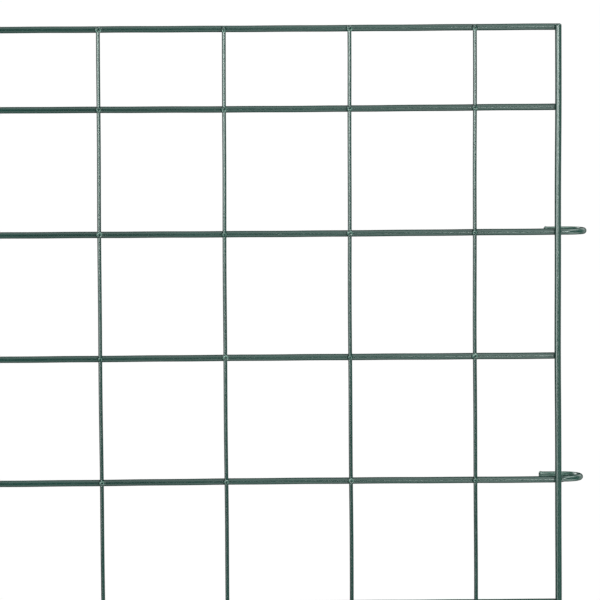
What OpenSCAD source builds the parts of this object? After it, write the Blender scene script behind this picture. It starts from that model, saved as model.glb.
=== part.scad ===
// Livestock panel gate: one welded wire mesh panel that hangs on a round post by wire hooks.
// The level wires lie in one plane. The upright wires are welded onto its -Y face, and every
// second level wire runs on past the +X edge and bends back behind the panel as an open hook.
// Frame: +Z up, +X towards the hooks, +Y behind the panel. Units are millimetres.
// Origin: on the upright line through all the hook bends, level with the lowest hook.

/* [Mesh] */
// Spacing of the mesh wires both ways, centre to centre
mesh_pitch = 100; // [60:5:150]
// From the last thin upright to the edge wire, on both sides
side_margin = 66.5; // [30:0.5:100]
// From the last inner level wire to the top wire and to the bottom wire
end_margin = 64; // [30:1:100]

/* [Wires] */
// Diameter of the edge wires and of every level wire, coating included
frame_wire_d = 5; // [4:0.1:8]
// Diameter of the thin upright wires, coating included
upright_wire_d = 3; // [2:0.1:4]
// How far an upright sinks into a level wire where they are welded
weld_depth = 0.4; // [0.1:0.05:0.8]
// Bevel on each cut wire end
end_bevel = 0.5; // [0.2:0.1:0.8]

/* [Hooks] */
// Clear width between the two legs of a hook
hook_gap = 22; // [16:1:30]
// From the middle of the edge wire to the outside of a hook bend
hook_reach = 22.5; // [22:0.5:40]
// Straight tail from the bend back behind the panel
hook_tail = 16.5; // [5:0.5:40]

/* [Hidden] */
upright_count = 9;
inner_row_count = 9;
hook_rows = [2, 4, 6, 8];
plain_rows = [1, 3, 5, 7, 9];

UPRIGHTS = [for (i = [1:upright_count]) str("upright_wire_", i)];
HOOK_WIRES = [for (row = hook_rows) str("hook_wire_", row)];
PLAIN_WIRES = [for (row = plain_rows) str("cross_wire_", row)];
FRAME_WIRES = ["top_wire", "bottom_wire", "edge_wire_left", "edge_wire_right"];

coat = "#4d6259";
$fn = 48;

frame_r = frame_wire_d / 2;
upright_r = upright_wire_d / 2;
bend_r = hook_gap / 2 + frame_r;

// Depth of the three layers of wire, counted from the line through the hook bends
level_y = -bend_r;
upright_y = level_y - frame_r - upright_r + weld_depth;
edge_y = level_y - 2 * frame_r + weld_depth;

edge_right_x = bend_r + frame_r - hook_reach;
edge_left_x = edge_right_x - 2 * side_margin - (upright_count - 1) * mesh_pitch;
top_z = row_z(1) + end_margin;
bottom_z = row_z(inner_row_count) - end_margin;

// Height of an inner row, with row 1 at the top and the last hook row at zero
function row_z(row) = (hook_rows[len(hook_rows) - 1] - row) * mesh_pitch;

// Place of an upright, with number 1 beside the left edge wire
function upright_x(i) = edge_left_x + side_margin + (i - 1) * mesh_pitch;

// Round wire along +Z from the origin, bevelled at its near end, its far end or both
module wire(length, r, near_bevel = end_bevel, far_bevel = end_bevel)
    rotate_extrude()
        polygon([
            [0, 0],
            [r - near_bevel, 0],
            [r, near_bevel],
            [r, length - far_bevel],
            [r - far_bevel, length],
            [0, length]
        ]);

// Seats that the upright wires press into a level wire
module weld_seats(z) {
    seat_length = 4 * frame_wire_d;
    for (i = [1:upright_count])
        translate([upright_x(i), upright_y, z - seat_length / 2])
            cylinder(h = seat_length, r = upright_r);
    for (x = [edge_left_x, edge_right_x])
        translate([x, edge_y, z - seat_length / 2])
            cylinder(h = seat_length, r = frame_r);
}

// Straight level wire from edge to edge, seated behind the uprights
module level_wire(z)
    difference() {
        translate([edge_left_x - frame_r, level_y, z])
            rotate([0, 90, 0])
                wire(edge_right_x - edge_left_x + 2 * frame_r, frame_r);
        weld_seats(z);
    }

// Level wire that runs on past the right edge wire, turns back round the post line and ends in a tail
module hook_wire(z)
    difference() {
        union() {
            translate([edge_left_x - frame_r, level_y, z])
                rotate([0, 90, 0])
                    wire(frame_r - edge_left_x, frame_r, far_bevel = 0);
            translate([0, 0, z])
                rotate([0, 0, -90])
                    rotate_extrude(angle = 180)
                        translate([bend_r, 0])
                            circle(r = frame_r);
            translate([0, bend_r, z])
                rotate([0, -90, 0])
                    wire(hook_tail, frame_r, near_bevel = 0);
        }
        weld_seats(z);
    }

// Upright wire over the full height, with its ends level with the outside of the frame
module upright(x, y, r)
    translate([x, y, bottom_z - frame_r])
        wire(top_z - bottom_z + 2 * frame_r, r);

module top_wire() { color(coat) level_wire(top_z); }
module bottom_wire() { color(coat) level_wire(bottom_z); }
module cross_wire(row) { color(coat) level_wire(row_z(row)); }
module hooked_cross_wire(row) { color(coat) hook_wire(row_z(row)); }
module edge_wire_left() { color(coat) upright(edge_left_x, edge_y, frame_r); }
module edge_wire_right() { color(coat) upright(edge_right_x, edge_y, frame_r); }
module upright_wire(i) { color(coat) upright(upright_x(i), upright_y, upright_r); }

top_wire();
bottom_wire();
edge_wire_left();
edge_wire_right();
for (row = plain_rows)
    cross_wire(row);
for (row = hook_rows)
    hooked_cross_wire(row);
for (i = [1:upright_count])
    upright_wire(i);
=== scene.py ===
"""Looks of the livestock panel gate: coated wires with weld fillets, bent hooks and blunt cut ends.

Metres throughout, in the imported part's frame: +Z up, +X towards the hooks, -Y towards the camera.
"""

import math

import bpy
import numpy as np
from mathutils import Matrix, Vector


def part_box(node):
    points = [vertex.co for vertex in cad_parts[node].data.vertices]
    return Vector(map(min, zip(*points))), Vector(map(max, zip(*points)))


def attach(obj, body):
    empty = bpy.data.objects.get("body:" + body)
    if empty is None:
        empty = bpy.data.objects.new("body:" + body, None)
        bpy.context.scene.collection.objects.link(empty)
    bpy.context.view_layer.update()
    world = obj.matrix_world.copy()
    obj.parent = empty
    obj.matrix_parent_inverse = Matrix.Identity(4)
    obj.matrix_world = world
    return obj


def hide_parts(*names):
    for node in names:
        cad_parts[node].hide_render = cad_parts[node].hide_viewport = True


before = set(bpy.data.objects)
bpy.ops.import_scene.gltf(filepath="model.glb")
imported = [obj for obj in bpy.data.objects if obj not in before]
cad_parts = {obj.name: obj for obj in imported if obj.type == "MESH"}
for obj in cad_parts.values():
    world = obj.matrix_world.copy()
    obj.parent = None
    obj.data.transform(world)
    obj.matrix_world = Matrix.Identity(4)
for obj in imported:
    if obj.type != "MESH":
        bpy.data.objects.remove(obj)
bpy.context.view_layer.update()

MM = 0.001

# Camera: a long lens, a little above the panel and almost square to it
LENS_MM = 252.0
SENSOR_MM = 36.0
VIEW_DISTANCE = 3.366
VIEW_AZIMUTH = math.radians(1.033)
VIEW_ELEVATION = math.radians(5.839)
VIEW_ROLL = math.radians(-0.324)
AIM_LEFT_OF_EDGE = 206.7 * MM
AIM_BELOW_TOP = 217.4 * MM
# How far the camera sees
VIEW_LIMIT = 200

# Softboxes: degrees round from the front and up, half width and half height in degrees, and radiance.
# The radiances began as a least-squares fit made by another program; most were then changed by hand
ROOM_LIGHT = 0.03
SOFTBOXES = {
    "key_left": (-17, -0.4, 5, 4.5, 26),
    "key_right": (8.3, -0.4, 4.1, 4.5, 31),
    "between_keys": (3, -0.5, 3, 4.5, 4),
    "side_left": (-41, -3, 8, 6.5, 11.3),
    "far_left": (-58, -3, 9, 6.5, 5.8),
    "side_right": (48, -2, 11, 7.5, 1.5),
    "high_front": (20, 26, 18, 14, 1.9),
    "high_right": (50, 52, 30, 16, 5.8),
    "overhead": (0, 86, 20, 20, 1.8),
    "low_right": (50, -54, 30, 16, 5),
    "low_front": (20, -28, 18, 18, 1.2),
    "underneath": (0, -86, 20, 20, 0.8),
    "behind_left": (-115, 0, 24, 40, 0.6),
    "behind_right": (122, 0, 20, 40, 0.7),
    "back_left": (-140, 30, 18, 14, 4),
    "back_right": (140, 30, 18, 14, 1.2),
}
# How sharply a softbox ends
SOFTBOX_EDGE = 4

# Floor: shadows show within the first distance and are gone at the second
FLOOR_GAP = 0.08
FLOOR_REACH = 60.0
NEAR_FLOOR, FAR_FLOOR = 1.2, 2.6
FLOOR_GREY = 0.38
FLOOR_GLOW = 0.47
WHITE = 1.01

# How much further out the coated surface lies than the CAD's, on a thick wire and on a thin one
COAT_BUILD = 0.12 * MM
THIN_COAT_BUILD = 0.08 * MM

# Coat colours, linear
DEEP_GREEN, FRESH_GREEN = (0.0030, 0.026, 0.020), (0.0045, 0.035, 0.027)
DULL_GREEN, PALE_WEAR = (0.012, 0.044, 0.036), (0.12, 0.17, 0.15)
# Painted highlight on the weld lips' crests, and painted light that lightens the hooks and edge wires
CREST_HIGHLIGHT_GREEN, PAINTED_LIGHT_GREEN = (0.15, 0.28, 0.225), (0.085, 0.16, 0.13)
COAT_TINT = (0.84, 1, 0.93, 1)

# How much of each colour shows where its mask is full
DULL_SHARE, WELD_SHARE, SCUFF_SHARE, CUT_SHARE = 0.18, 0.5, 0.25, 0.22
# Shares of the painted light on hooks and edge wires and of the painted highlight on the lips
PAINTED_LIGHT_SHARE, CREST_HIGHLIGHT_SHARE = 0.9, 0.8

# Welds: the raised lip of metal squeezed out round a thin upright, and the dished face inside it
WELD_REACH = 4.4 * MM
FILLET = 0.6 * MM
LIP_ACROSS = 1.52 * MM
LIP_UP = 1.62 * MM
LIP_R = 0.66 * MM
LIP_PROUD = 0.30 * MM
LIP_BLEND = 0.14 * MM
LIP_INWARD = 0.5 * MM
DISH_TILT = -0.13
PRESS_LENGTH = 1.6 * MM
PRESS_DEPTH = 0.50 * MM
PRESS_RIM = 0.25 * MM
PRESS_STEEPNESS = 6
END_ROUNDING = 0.4

# A painted highlight on a weld's lip: how wide, how far forward, how much at the sides and how much it
# leans up or down, and the height on the panel, from 0 to 1, where the lean turns over
CREST_WIDTH = 0.42 * MM
CREST_FRONT = 1.0 * MM
CREST_SIDES = 0.85
CREST_LEAN = 0.65
LEAN_TURNS_AT = 0.91
LEAN_TURNS_OVER = 0.06

# How the welds vary: the seed of each trait and the whole spread of its values
VARIATION = {
    "press": (1, 0.4),
    "width": (2, 0.35),
    "height": (3, 0.2),
    "proud": (4, 0.4),
    "aside": (5, 0.3 * MM),
    "upward": (6, 0.5 * MM),
    "tilt": (7, 0.08),
    "lean": (8, 0.4),
    # How strong a lip's painted highlight is
    "highlight_strength": (9, 0.4),
}
SEED_MIX = (127.1, 311.7, 74.7)
SEED_TURN = 3.7

# Waves of the wires. Sway moves them sideways, more towards the right end, in whole waves down the panel
SWAY, SWAY_MORE, SWAY_WAVES = 0.10 * MM, 0.25 * MM, 2
# Drift moves them apart to either side of a middle, over a spread, and turns with the share of the height
DRIFT, DRIFT_MIDDLE, DRIFT_SPREAD = 0.45 * MM, -0.17, 0.2
DRIFT_START, DRIFT_TURN = 0.12, 5
# How far all of them lie to the left
ASIDE = 0.08 * MM
# Sag moves level wires up and down: its wave length across and, as a share of the height, down the panel
SAG, SAG_START_X, SAG_LENGTH_X, SAG_START_DOWN, SAG_LENGTH_DOWN = 0.22 * MM, -0.22, 0.45, 0.1, 0.6
# One row stands a little high: how much, how far down as a share of the height, and over what share
HIGH_ROW, HIGH_ROW_DOWN, HIGH_ROW_SPREAD = 0.28 * MM, 0.286, 0.05
# Ripples and belly: their height, and how many radians they turn in a metre along X and along Z
RIPPLE_SIDEWAYS = (0.08 * MM, 13, 47)
RIPPLE_UPWARD = (0.05 * MM, 97, 55)
BELLY = (0.30 * MM, 7, 6)
BELLY_START_X, BELLY_START_Z = 1, 0.5

# Mesh fineness
SIDES = 32
WELD_STEP = 0.3 * MM
FREE_STEP = 5.0 * MM
END_PLACES = [s * MM for s in (0.04, 0.12, 0.25, 0.45, 0.7, 1.0, 1.4)]
END_ZONE = 1.5 * MM
SEARCH_FROM = 0.35
SEARCH_BEYOND = 1.15 * MM
SEARCH_STEPS = 40

# How far a cut's mark reaches, and how much painted light lightens the edge wires' coat, where a hook's
# bend is 1
CUT_REACH = 1.6 * MM
EDGE_PAINTED_LIGHT = 0.12

# Hooks: where the tail ends, the gap kept before the bend, and the spacing of rings round it and at its tip
TAIL_END_X = -16.5 * MM
BEND_GAP = 2 * MM
BEND_STEP = 1.2 * MM
TIP_ZONE = 3 * MM
TIP_STEP = 0.25 * MM
TIP_RINGS = 10
ROUNDING_PLACES = (0.7, 0.4, 0.2, 0.08, 0.02)
# The cropped tip swells a little just before its end
TIP_SWELL, SWELL_BEFORE_TIP, SWELL_SPREAD = 0.10, 1.1 * MM, 0.9 * MM
TIP_CUT_REACH = 1.8 * MM
# How much of the painted light that lightens the bend is gone along the tail
TAIL_PAINTED_LIGHT_FADE = 0.5

UPRIGHTS = sorted(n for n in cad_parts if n.startswith("upright_wire"))
HOOK_WIRES = sorted(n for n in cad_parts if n.startswith("hook_wire"))
CROSS_WIRES = sorted(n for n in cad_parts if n.startswith("cross_wire"))
EDGES = ["edge_wire_left", "edge_wire_right"]
FRAME_LEVELS = ["top_wire", "bottom_wire"]

# How the hand-bent hooks differ: how much further the bend reaches and the tail runs, the tail's lift,
# and how far the leg in front has risen where the bend starts
HOOK_BENDS = {
    "hook_wire_2": (1.9 * MM, -1.1 * MM, -0.8 * MM, 0.0 * MM),
    "hook_wire_4": (-1.2 * MM, 3.3 * MM, 0.0 * MM, 0.7 * MM),
    "hook_wire_6": (0.4 * MM, 0.8 * MM, -0.3 * MM, 0.3 * MM),
    "hook_wire_8": (-0.2 * MM, -1.0 * MM, 0.4 * MM, 0.2 * MM),
}


# ---------------------------------------------------------------- measures taken from the frame

def middle(node):
    lo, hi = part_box(node)
    return (lo + hi) / 2


def size(node):
    lo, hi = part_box(node)
    return hi - lo


LEVEL_Y = middle("top_wire").y
FRAME_R = size("top_wire").z / 2
COATED_R = FRAME_R + COAT_BUILD
BOTTOM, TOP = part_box("edge_wire_right")[0].z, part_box("edge_wire_right")[1].z
LEFT_END, RIGHT_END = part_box("top_wire")[0].x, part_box("top_wire")[1].x
BEND_R = (size(HOOK_WIRES[0]).y - 2 * FRAME_R) / 2
BEND_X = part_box(HOOK_WIRES[0])[1].x - FRAME_R - BEND_R
BEND_LENGTH = math.pi * BEND_R
TAIL_RUN = BEND_X - TAIL_END_X

LEVEL_NAMES = FRAME_LEVELS + CROSS_WIRES + HOOK_WIRES
LEVEL_Z = {n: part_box(n)[0].z + FRAME_R for n in LEVEL_NAMES}
STANDING = {n: (middle(n).x, middle(n).y, size(n).x / 2 + COAT_BUILD) for n in EDGES}
STANDING |= {n: (middle(n).x, middle(n).y, size(n).x / 2 + THIN_COAT_BUILD) for n in UPRIGHTS}
STANDING_X = {n: place[0] for n, place in STANDING.items()}


# ---------------------------------------------------------------- shape of the welded wires

def varied(trait, x, z):
    """How far a weld's trait is from its usual value: steady for each weld, and unlike its neighbours'."""
    seed, spread = VARIATION[trait]
    total = sum(key * mix for key, mix in zip((x, z, seed), SEED_MIX))
    return spread * math.sin(total * SEED_TURN) / 2


def smooth_union(a, b, k):
    h = np.clip(k - np.abs(a - b), 0, None) / k
    return np.minimum(a, b) - h * h * k / 4


def smooth_cut(a, b, k):
    return -smooth_union(-a, -b, k)


def capped(radial, along, rounding):
    """Distance to a round bar from those to its side and to its nearer end, with a rounded rim."""
    radial, along = radial + rounding, along + rounding
    outside = np.hypot(np.clip(radial, 0, None), np.clip(along, 0, None))
    return np.minimum(np.maximum(radial, along), 0) + outside - rounding


def standing_distance(p, name, weld_z):
    """Distance to an upright wire, pressed flat in front where it is welded at weld_z."""
    x, y, r = STANDING[name]
    radial = np.hypot(p[..., 0] - x, p[..., 1] - y) - r
    if name in UPRIGHTS:
        press = np.exp(-((p[..., 2] - weld_z) / PRESS_LENGTH) ** PRESS_STEEPNESS)
        press = press * (1 + varied("press", x, weld_z))
        flat = y - r + PRESS_DEPTH * press - p[..., 1]
        flat = flat + varied("tilt", x, weld_z) * (p[..., 0] - x) * press
        radial = smooth_cut(radial, flat, PRESS_RIM)
    beyond = np.abs(p[..., 2] - (TOP + BOTTOM) / 2) - (TOP - BOTTOM) / 2
    return capped(radial, beyond, END_ROUNDING * r)


def level_distance(p, name):
    """Distance to a level wire, which in a hook wire has no end on the right."""
    radial = np.hypot(p[..., 1] - LEVEL_Y, p[..., 2] - LEVEL_Z[name]) - COATED_R
    right = 1.0 if name in HOOK_WIRES else RIGHT_END
    half = (right - LEFT_END) / 2
    beyond = np.abs(p[..., 0] - (right + LEFT_END) / 2) - half
    return capped(radial, beyond, END_ROUNDING * COATED_R)


def lip_place(p, x, z, level):
    """How far points are across and up from the middle of a weld's lip, and the height of that middle."""
    if level in FRAME_LEVELS:
        z -= math.copysign(LIP_INWARD, z - (TOP + BOTTOM) / 2)
    wide = 1 + varied("width", x, z)
    tall = LIP_UP / LIP_ACROSS * (1 + varied("height", x, z))
    across = (p[..., 0] - x - varied("aside", x, z)) / wide
    up = (p[..., 2] - z - varied("upward", x, z)) / tall
    return across, up, z


def lip_distance(p, standing, level):
    """Distance to the weld of a thin upright: a dished face with a rounded lip standing up round it."""
    x, y, r = STANDING[standing]
    across, up, z = lip_place(p, x, LEVEL_Z[level], level)
    from_middle = np.hypot(across, up)
    face = y - r + PRESS_DEPTH + DISH_TILT * (p[..., 2] - z)
    ahead = p[..., 1] - (face - LIP_PROUD * (1 + varied("proud", x, z)) + LIP_R)
    lip = np.hypot(from_middle - LIP_ACROSS, np.minimum(ahead, 0)) - LIP_R
    dish = np.maximum(from_middle - LIP_ACROSS, face - p[..., 1])
    return np.maximum(smooth_union(lip, dish, LIP_BLEND), p[..., 1] - LEVEL_Y)


def weld_distance(p, standing, level):
    """Distance to an upright and a level wire that are welded together."""
    wires = smooth_union(standing_distance(p, standing, LEVEL_Z[level]), level_distance(p, level), FILLET)
    if standing not in UPRIGHTS:
        return wires
    return smooth_union(wires, lip_distance(p, standing, level), LIP_BLEND)


def crest_highlight(p, standing, level):
    """Painted highlight on a weld's lip: at its sides and above, or below it near the panel's top."""
    x = STANDING_X[standing]
    across, up, z = lip_place(p, x, LEVEL_Z[level], level)
    from_middle = np.hypot(across, up)
    rise = up / np.maximum(from_middle, 1e-6)
    height = (z - BOTTOM) / (TOP - BOTTOM)
    lean = CREST_LEAN * math.tanh((LEAN_TURNS_AT - height) / LEAN_TURNS_OVER) + varied("lean", x, z)
    sides = CREST_SIDES * (1 - rise ** 2) * (1 + varied("highlight_strength", x, z))
    rim = np.exp(-((from_middle - LIP_ACROSS) / CREST_WIDTH) ** 2)
    return rim * np.clip(sides + lean * rise, 0, 1) * (p[..., 1] < LEVEL_Y - CREST_FRONT)


def surface_radius(centres, rays, r, distance):
    """How far out along each ray the coated surface lies, looking no further than a weld's lip."""
    reach = np.linspace(SEARCH_FROM * r, r + SEARCH_BEYOND, SEARCH_STEPS)
    points = centres[:, None, None] + rays[:, :, None] * reach[None, None, :, None]
    d = distance(points)
    inside = d < 0
    last = reach.size - 1 - np.argmax(inside[..., ::-1], axis=-1)
    last = np.where(inside.any(axis=-1), last, 0)
    nxt = np.minimum(last + 1, reach.size - 1)
    d0 = np.take_along_axis(d, last[..., None], -1)[..., 0]
    d1 = np.take_along_axis(d, nxt[..., None], -1)[..., 0]
    t = np.where(nxt > last, np.clip(-d0 / np.where(d1 - d0 == 0, 1, d1 - d0), 0, 1), 0)
    return reach[last] + t * (reach[nxt] - reach[last])


def ripple(x, z, height, turn_x, turn_z):
    return height * np.sin(x * turn_x + z * turn_z)


def bow(points):
    """The slight waves of real drawn wire, the same for every wire that meets at a weld."""
    x, z = points[:, 0].copy(), points[:, 2].copy()
    across = (x - LEFT_END) / (RIGHT_END - LEFT_END)
    down = (TOP - z) / (TOP - BOTTOM)
    turn = 2 * math.pi
    points[:, 0] += (SWAY + SWAY_MORE * across ** 2) * np.cos(down * SWAY_WAVES * turn)
    apart = np.tanh((x - DRIFT_MIDDLE) / DRIFT_SPREAD)
    points[:, 0] += DRIFT * apart * np.sin((down - DRIFT_START) * DRIFT_TURN) - ASIDE
    points[:, 0] += ripple(x, z, *RIPPLE_SIDEWAYS)
    sag_across = np.cos((x - SAG_START_X) * turn / SAG_LENGTH_X)
    sag_down = np.cos((down - SAG_START_DOWN) * turn / SAG_LENGTH_DOWN)
    points[:, 2] += ripple(x, z, *RIPPLE_UPWARD) - SAG * sag_across * sag_down
    points[:, 2] += HIGH_ROW * np.exp(-((down - HIGH_ROW_DOWN) / HIGH_ROW_SPREAD) ** 2)
    belly, turn_x, turn_z = BELLY
    points[:, 1] += belly * np.sin(x * turn_x + BELLY_START_X) * np.sin(z * turn_z + BELLY_START_Z)
    return points


# ---------------------------------------------------------------- meshes

def stations(start, end, welds):
    """Places for the rings along a straight wire: close together at its ends and its welds."""
    places = [start + s for s in END_PLACES] + [end - s for s in END_PLACES]
    places += list(np.arange(start + FREE_STEP, end - FREE_STEP, FREE_STEP))
    places = [s for s in places if near_end(s, start, end) or all(abs(s - w) > WELD_REACH for w in welds)]
    for w in welds:
        near = np.arange(w - WELD_REACH, w + WELD_REACH, WELD_STEP)
        places += [s for s in near if start + END_ZONE < s < end - END_ZONE]
    return np.array(sorted(places))


def near_end(s, start, end):
    return min(s - start, end - s) < END_ZONE


def closeness(places, marks, reach):
    """1 at a mark and 0 beyond reach of one."""
    gap = np.min(np.abs(places[:, None] - np.array(marks)[None, :]), axis=1)
    return np.clip(1 - gap / reach, 0, 1)


def turns():
    """The angles of a ring's points."""
    return np.linspace(0, 2 * math.pi, SIDES, endpoint=False)


def rays_about(normals):
    """Unit rays out of level centre lines, one fan for each in-plane normal."""
    up = np.array((0.0, 0.0, 1.0))
    return normals[:, None] * np.cos(turns())[None, :, None] - up * np.sin(turns())[None, :, None]


def welded_rings(centres, rays, r, places, crossings, pair):
    """Rings of a wire's surface and how much painted highlight each point gets, from the weld nearest to
    each ring.
    """
    nearest = np.argmin(np.abs(places[:, None] - np.array(list(crossings.values()))[None]), axis=1)
    rings, lip = np.zeros(rays.shape), np.zeros(rays.shape[:2])
    for k, crossing in enumerate(crossings):
        standing, level = pair(crossing)
        at = nearest == k
        radius = surface_radius(centres[at], rays[at], r, lambda p: weld_distance(p, standing, level))
        rings[at] = centres[at][:, None] + rays[at] * radius[..., None]
        if standing in UPRIGHTS:
            # Painted highlight on the lip
            lip[at] = crest_highlight(rings[at], standing, level)
    return rings, lip


def ring_mesh(name, rings, tips, masks):
    """Mesh of a tube from its rings of points, closed by a point at each tip, with its masks of welds, cut
    ends, painted highlight and painted light.
    """
    count, sides = rings.shape[:2]
    points = bow(np.concatenate([rings.reshape(-1, 3), np.array(tips)]))
    index = np.arange(count * sides).reshape(count, sides)
    turned = np.roll(index, -1, axis=1)
    quads = np.stack([index[:-1], turned[:-1], turned[1:], index[1:]], axis=-1).reshape(-1, 4)
    first, last = count * sides, count * sides + 1
    faces = quads.tolist()
    faces += [[first, b, a] for a, b in zip(index[0], turned[0])]
    faces += [[last, a, b] for a, b in zip(index[-1], turned[-1])]
    mesh = bpy.data.meshes.new(name)
    mesh.from_pydata(points.tolist(), [], faces)
    mesh.shade_smooth()
    for key, values in masks.items():
        layer = mesh.attributes.new(key, "FLOAT", "POINT")
        around = values.reshape(count, -1)
        spread = np.repeat(around, sides // around.shape[1], axis=1).ravel()
        at_tip = 1.0 if key == "cut_end" else 0.0
        layer.data.foreach_set("value", np.append(spread, [at_tip, at_tip]).astype(np.float32))
    mesh.validate()
    return mesh


def masks_of(weld, cut_end, lip, painted_light_lift):
    return {"weld": weld, "cut_end": cut_end, "lip": lip, "painted_light_lift": painted_light_lift}


def standing_wire(name, material):
    """An upright wire or an edge wire, from the bottom of the panel to its top."""
    x, y, r = STANDING[name]
    welds = sorted(LEVEL_Z.values())
    z = stations(BOTTOM, TOP, welds)
    centres = np.stack([np.full(z.size, x), np.full(z.size, y), z], axis=-1)
    fan = np.stack([np.cos(turns()), np.sin(turns()), 0 * turns()], axis=-1)
    rays = np.repeat(fan[None], z.size, axis=0)
    rings, lip = welded_rings(centres, rays, r, z, LEVEL_Z, lambda level: (name, level))
    # Painted light lightens the edge wires' coat a little
    painted_brightening = np.full(z.size, 0.0 if name in UPRIGHTS else EDGE_PAINTED_LIGHT)
    cut = closeness(z, [BOTTOM, TOP], CUT_REACH)
    masks = masks_of(closeness(z, welds, WELD_REACH), cut, lip, painted_brightening)
    mesh = ring_mesh("coated_" + name, rings, [(x, y, BOTTOM), (x, y, TOP)], masks)
    return finish_piece(mesh, name, material)


def level_wire(name, material):
    """A level wire across the panel, which in a hook wire runs on into its bend and tail."""
    hooked = name in HOOK_WIRES
    end = BEND_X + HOOK_BENDS[name][0] if hooked else RIGHT_END
    ends = [LEFT_END] if hooked else [LEFT_END, RIGHT_END]
    welds = sorted(STANDING_X.values())
    x = stations(LEFT_END, end, welds)
    if hooked:
        x = x[x < end - BEND_GAP]
    centres = np.stack([x, np.full(x.size, LEVEL_Y), np.full(x.size, LEVEL_Z[name])], axis=-1)
    rays = rays_about(np.tile((0.0, -1.0, 0.0), (x.size, 1)))
    rings, lip = welded_rings(centres, rays, COATED_R, x, STANDING_X, lambda standing: (standing, name))
    masks = masks_of(closeness(x, welds, WELD_REACH), closeness(x, ends, CUT_REACH), lip, 0 * x)
    tips = [(LEFT_END, LEVEL_Y, LEVEL_Z[name]), (RIGHT_END, LEVEL_Y, LEVEL_Z[name])]
    if hooked:
        rings[..., 2] += rise_to_bend(name, x, end)[:, None]
        hook, hook_masks, tips[1] = hook_end(name)
        rings = np.concatenate([rings, hook])
        masks = {key: np.concatenate([masks[key], hook_masks[key]]) for key in masks}
    mesh = ring_mesh("coated_" + name, rings, tips, masks)
    return finish_piece(mesh, name, material)


def rise_to_bend(name, x, end):
    """How far a hook wire's front leg has risen at each x between the edge wire and the bend."""
    edge = STANDING_X["edge_wire_right"]
    return HOOK_BENDS[name][3] * np.clip((x - edge) / (end - edge), 0, 1) ** 2


def hook_path(name, places):
    """Centres and in-plane normals round the bend and along the tail of a hook."""
    reach, _, lift, rise = HOOK_BENDS[name]
    angle = np.minimum(places / BEND_LENGTH, 1) * math.pi
    past = np.maximum(places - BEND_LENGTH, 0)
    behind = 1 - np.cos(angle)
    x = BEND_X + reach + BEND_R * np.sin(angle) - past
    z = LEVEL_Z[name] + rise + (lift - rise) * behind / 2
    centres = np.stack([x, LEVEL_Y + BEND_R * behind, z], axis=-1)
    return centres, np.stack([np.sin(angle), -np.cos(angle), 0 * angle], axis=-1)


def hook_end(name):
    """Rings round a hook's bend and along its tail to the blunt tip, their masks, and the tip's point."""
    reach, tail = HOOK_BENDS[name][:2]
    length = BEND_LENGTH + TAIL_RUN + tail + reach
    rounding = END_ROUNDING * COATED_R
    places = list(np.arange(0, length - TIP_ZONE, BEND_STEP))
    places += [length - TIP_ZONE + k * TIP_STEP for k in range(TIP_RINGS)]
    places += [length - rounding * k for k in ROUNDING_PLACES]
    places = np.array(places)
    left = length - places
    swell = 1 + TIP_SWELL * np.exp(-((left - SWELL_BEFORE_TIP) / SWELL_SPREAD) ** 2)
    rim = np.sqrt(np.clip(1 - (1 - np.clip(left / rounding, 0, 1)) ** 2, 0, 1))
    radius = COATED_R * swell - rounding * (1 - rim)
    centres, normals = hook_path(name, places)
    rings = centres[:, None] + rays_about(normals) * radius[:, None, None]
    bends = places / BEND_LENGTH
    # Painted light lightens the coat round the bend, and less of it along the tail
    painted_brightening = np.clip(bends, 0, 1) * (1 - TAIL_PAINTED_LIGHT_FADE * np.clip(bends - 1, 0, 1))
    cut = np.clip(1 - left / TIP_CUT_REACH, 0, 1)
    masks = masks_of(0 * places, cut, np.zeros((places.size, SIDES)), painted_brightening)
    return rings, masks, hook_path(name, np.array([length]))[0][0]


def finish_piece(mesh, node, material):
    piece = bpy.data.objects.new(mesh.name, mesh)
    bpy.context.scene.collection.objects.link(piece)
    mesh.materials.append(material)
    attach(piece, "root")
    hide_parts(node)
    return piece


# ---------------------------------------------------------------- materials

def node_of(tree, kind, **settings):
    node = tree.nodes.new(kind)
    for key, value in settings.items():
        setattr(node, key, value)
    return node


def noise(tree, place, scale, detail=3.0, roughness=0.5):
    node = node_of(tree, "ShaderNodeTexNoise")
    node.inputs["Scale"].default_value = scale
    node.inputs["Detail"].default_value = detail
    node.inputs["Roughness"].default_value = roughness
    tree.links.new(place, node.inputs["Vector"])
    return node.outputs["Fac"]


def ramp(tree, value, low, high, start=0.0, stop=1.0):
    node = node_of(tree, "ShaderNodeMapRange", clamp=True)
    for key, number in (("From Min", low), ("From Max", high), ("To Min", start), ("To Max", stop)):
        node.inputs[key].default_value = number
    tree.links.new(value, node.inputs["Value"])
    return node.outputs["Result"]


def mix_colour(tree, amount, first, second):
    node = node_of(tree, "ShaderNodeMix", data_type="RGBA")
    tree.links.new(amount, node.inputs["Factor"])
    for value, socket in ((first, node.inputs["A"]), (second, node.inputs["B"])):
        if isinstance(value, tuple):
            socket.default_value = (*value, 1)
        else:
            tree.links.new(value, socket)
    return node.outputs["Result"]


def maths(tree, operation, a, b):
    node = node_of(tree, "ShaderNodeMath", operation=operation)
    for value, socket in zip((a, b), node.inputs):
        if isinstance(value, (int, float)):
            socket.default_value = value
        else:
            tree.links.new(value, socket)
    return node.outputs["Value"]


def share(tree, value, amount):
    return maths(tree, "MULTIPLY", value, amount)


def attribute(tree, name):
    return node_of(tree, "ShaderNodeAttribute", attribute_name=name).outputs["Fac"]


def coat_wear(tree, place):
    """How worn the coat is: in scattered scuffs and at the cut ends."""
    scuff = ramp(tree, noise(tree, place, scale=160, detail=6, roughness=0.7), low=0.69, high=0.78)
    cut = attribute(tree, "cut_end")
    return maths(tree, "MAXIMUM", share(tree, scuff, SCUFF_SHARE), share(tree, cut, CUT_SHARE))


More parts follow.
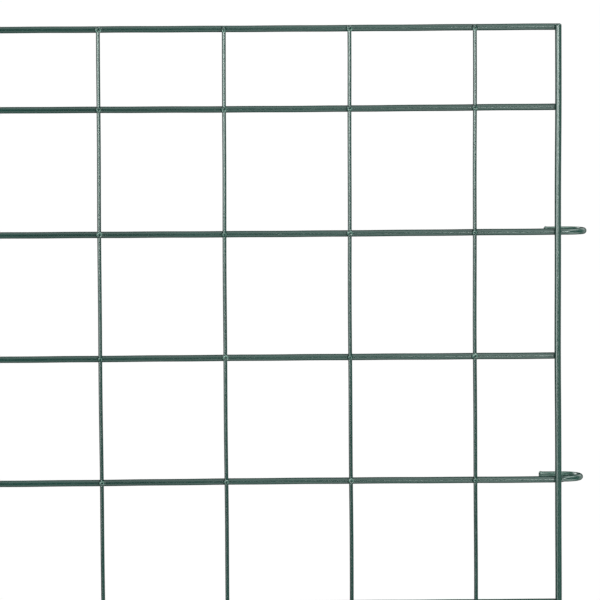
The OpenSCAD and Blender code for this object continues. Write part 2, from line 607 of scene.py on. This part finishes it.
def coat_colour(tree, place, worn):
    """Green that drifts along the wires and is mottled finely, with the marks of welds and wear, painted
    light that lightens the hooks' bends and the edge wires, and a painted highlight on the weld lips.
    """
    drift = ramp(tree, noise(tree, place, scale=14), low=0.35, high=0.65)
    mottle = ramp(tree, noise(tree, place, scale=420, detail=4, roughness=0.6), low=0.40, high=0.66)
    colour = mix_colour(tree, drift, DEEP_GREEN, FRESH_GREEN)
    colour = mix_colour(tree, share(tree, mottle, DULL_SHARE), colour, DULL_GREEN)
    colour = mix_colour(tree, share(tree, attribute(tree, "weld"), WELD_SHARE), colour, DEEP_GREEN)
    colour = mix_colour(tree, worn, colour, PALE_WEAR)
    # Painted light: a lighter green on the hooks' bends and tails and on the edge wires
    painted_lift = share(tree, attribute(tree, "painted_light_lift"), PAINTED_LIGHT_SHARE)
    colour = mix_colour(tree, painted_lift, colour, PAINTED_LIGHT_GREEN)
    # Painted highlight on the weld lips
    return mix_colour(tree, share(tree, attribute(tree, "lip"), CREST_HIGHLIGHT_SHARE), colour, CREST_HIGHLIGHT_GREEN)


def coat_roughness(tree, place, worn):
    smear = noise(tree, place, scale=90, detail=4, roughness=0.6)
    rough = ramp(tree, smear, low=0.3, high=0.7, start=0.10, stop=0.15)
    return maths(tree, "ADD", rough, share(tree, worn, 0.5))


def coat_bump(tree, place):
    """Orange peel and longer lumps of a dipped coat."""
    peel = noise(tree, place, scale=1100, detail=2)
    lumps = noise(tree, place, scale=240, detail=2)
    bump = node_of(tree, "ShaderNodeBump")
    bump.inputs["Strength"].default_value = 0.14
    bump.inputs["Distance"].default_value = 0.028 * MM
    tree.links.new(maths(tree, "ADD", peel, share(tree, lumps, 2.0)), bump.inputs["Height"])
    return bump.outputs["Normal"]


def coat_material():
    """Moss-green dipped coat: semi-gloss, faintly mottled, duller and paler where it is scuffed."""
    material = bpy.data.materials.new("moss_green_coat")
    material.use_nodes = True
    tree = material.node_tree
    shader = tree.nodes["Principled BSDF"]
    place = node_of(tree, "ShaderNodeTexCoord").outputs["Object"]
    worn = coat_wear(tree, place)
    tree.links.new(coat_colour(tree, place, worn), shader.inputs["Base Color"])
    tree.links.new(coat_roughness(tree, place, worn), shader.inputs["Roughness"])
    tree.links.new(coat_bump(tree, place), shader.inputs["Normal"])
    shader.inputs["IOR"].default_value = 1.5
    shader.inputs["Specular Tint"].default_value = COAT_TINT
    shader.inputs["Coat Weight"].default_value = 0.35
    shader.inputs["Coat Roughness"].default_value = 0.15
    return material


def floor_material():
    """Pale floor that takes soft shadows near the panel and fades to plain white further off."""
    material = bpy.data.materials.new("pale_floor")
    material.use_nodes = True
    tree = material.node_tree
    shader = tree.nodes["Principled BSDF"]
    shader.inputs["Roughness"].default_value = 0.9
    shader.inputs["Specular IOR Level"].default_value = 0.0
    shader.inputs["Emission Color"].default_value = (1, 1, 1, 1)
    away = node_of(tree, "ShaderNodeVectorMath", operation="LENGTH")
    tree.links.new(node_of(tree, "ShaderNodeNewGeometry").outputs["Position"], away.inputs[0])
    grey = ramp(tree, away.outputs["Value"], NEAR_FLOOR, FAR_FLOOR, FLOOR_GREY, 0.0)
    tree.links.new(grey, shader.inputs["Base Color"])
    glow = ramp(tree, away.outputs["Value"], NEAR_FLOOR, FAR_FLOOR, FLOOR_GLOW, WHITE)
    tree.links.new(glow, shader.inputs["Emission Strength"])
    return material


# ---------------------------------------------------------------- stage

def floor(height):
    """A level floor that the camera sees but the wires don't mirror."""
    corners = [(x * FLOOR_REACH, y * FLOOR_REACH, height) for x, y in ((-1, -1), (1, -1), (1, 1), (-1, 1))]
    mesh = bpy.data.meshes.new("floor")
    mesh.from_pydata(corners, [], [(0, 1, 2, 3)])
    mesh.materials.append(floor_material())
    plane = bpy.data.objects.new("floor", mesh)
    bpy.context.scene.collection.objects.link(plane)
    plane.visible_glossy = False
    plane.visible_diffuse = False
    plane.visible_shadow = False


def along(tree, direction, axis):
    """How far a direction points along an axis."""
    node = node_of(tree, "ShaderNodeVectorMath", operation="DOT_PRODUCT")
    tree.links.new(direction, node.inputs[0])
    node.inputs[1].default_value = axis
    return node.outputs["Value"]


def softbox(tree, direction, azimuth, elevation, half_width, half_height, radiance):
    """How bright one softbox makes each direction: even across its face, fading out at its rim."""
    turn, rise = math.radians(azimuth), math.radians(elevation)
    towards = Vector((math.sin(turn) * math.cos(rise), -math.cos(turn) * math.cos(rise), math.sin(rise)))
    across = Vector((math.cos(turn), math.sin(turn), 0))
    upward = across.cross(-towards)
    steep = 0
    for axis, half in ((across, half_width), (upward, half_height)):
        offset = share(tree, along(tree, direction, axis), 1 / math.sin(math.radians(half)))
        steep = maths(tree, "ADD", maths(tree, "POWER", offset, SOFTBOX_EDGE), steep)
    face = maths(tree, "POWER", math.exp(-1), steep)
    ahead = maths(tree, "GREATER_THAN", along(tree, direction, towards), 0)
    return share(tree, maths(tree, "MULTIPLY", face, ahead), radiance)


def background(tree):
    node = node_of(tree, "ShaderNodeBackground")
    node.inputs["Color"].default_value = (1, 1, 1, 1)
    return node


def surroundings():
    """A white world to look at, and a dim room with softboxes that lights the wires and shines in them."""
    world = bpy.data.worlds.new("studio")
    world.use_nodes = True
    bpy.context.scene.world = world
    tree = world.node_tree
    tree.nodes.clear()
    seen = background(tree)
    seen.inputs["Strength"].default_value = WHITE
    direction = node_of(tree, "ShaderNodeTexCoord").outputs["Generated"]
    glow = ROOM_LIGHT
    for values in SOFTBOXES.values():
        glow = maths(tree, "ADD", softbox(tree, direction, *values), glow)
    room = background(tree)
    tree.links.new(glow, room.inputs["Strength"])
    choice = node_of(tree, "ShaderNodeMixShader")
    tree.links.new(node_of(tree, "ShaderNodeLightPath").outputs["Is Camera Ray"], choice.inputs[0])
    tree.links.new(room.outputs[0], choice.inputs[1])
    tree.links.new(seen.outputs[0], choice.inputs[2])
    out = node_of(tree, "ShaderNodeOutputWorld")
    tree.links.new(choice.outputs[0], out.inputs["Surface"])


def camera():
    """A long lens aimed at the upper right of the panel, with the picture's slight roll."""
    edge_x = STANDING_X["edge_wire_right"]
    aim = Vector((edge_x - AIM_LEFT_OF_EDGE, LEVEL_Y, LEVEL_Z["top_wire"] - AIM_BELOW_TOP))
    ahead = Vector((
        math.sin(VIEW_AZIMUTH) * math.cos(VIEW_ELEVATION),
        math.cos(VIEW_AZIMUTH) * math.cos(VIEW_ELEVATION),
        -math.sin(VIEW_ELEVATION),
    ))
    level_right = ahead.cross(Vector((0, 0, 1))).normalized()
    level_up = level_right.cross(ahead)
    right = level_right * math.cos(VIEW_ROLL) + level_up * math.sin(VIEW_ROLL)
    up = right.cross(ahead)
    data = bpy.data.cameras.new("camera")
    data.lens = LENS_MM
    data.sensor_width = SENSOR_MM
    data.clip_end = VIEW_LIMIT
    eye = bpy.data.objects.new("camera", data)
    facing = Matrix((right, up, -ahead)).transposed().to_4x4()
    eye.matrix_world = Matrix.Translation(aim - ahead * VIEW_DISTANCE) @ facing
    bpy.context.scene.collection.objects.link(eye)
    bpy.context.scene.camera = eye


camera()
bpy.context.scene.view_settings.view_transform = "Standard"
coat = coat_material()
for wire in UPRIGHTS + EDGES:
    standing_wire(wire, coat)
for wire in LEVEL_NAMES:
    level_wire(wire, coat)
surroundings()
floor(BOTTOM - FLOOR_GAP)
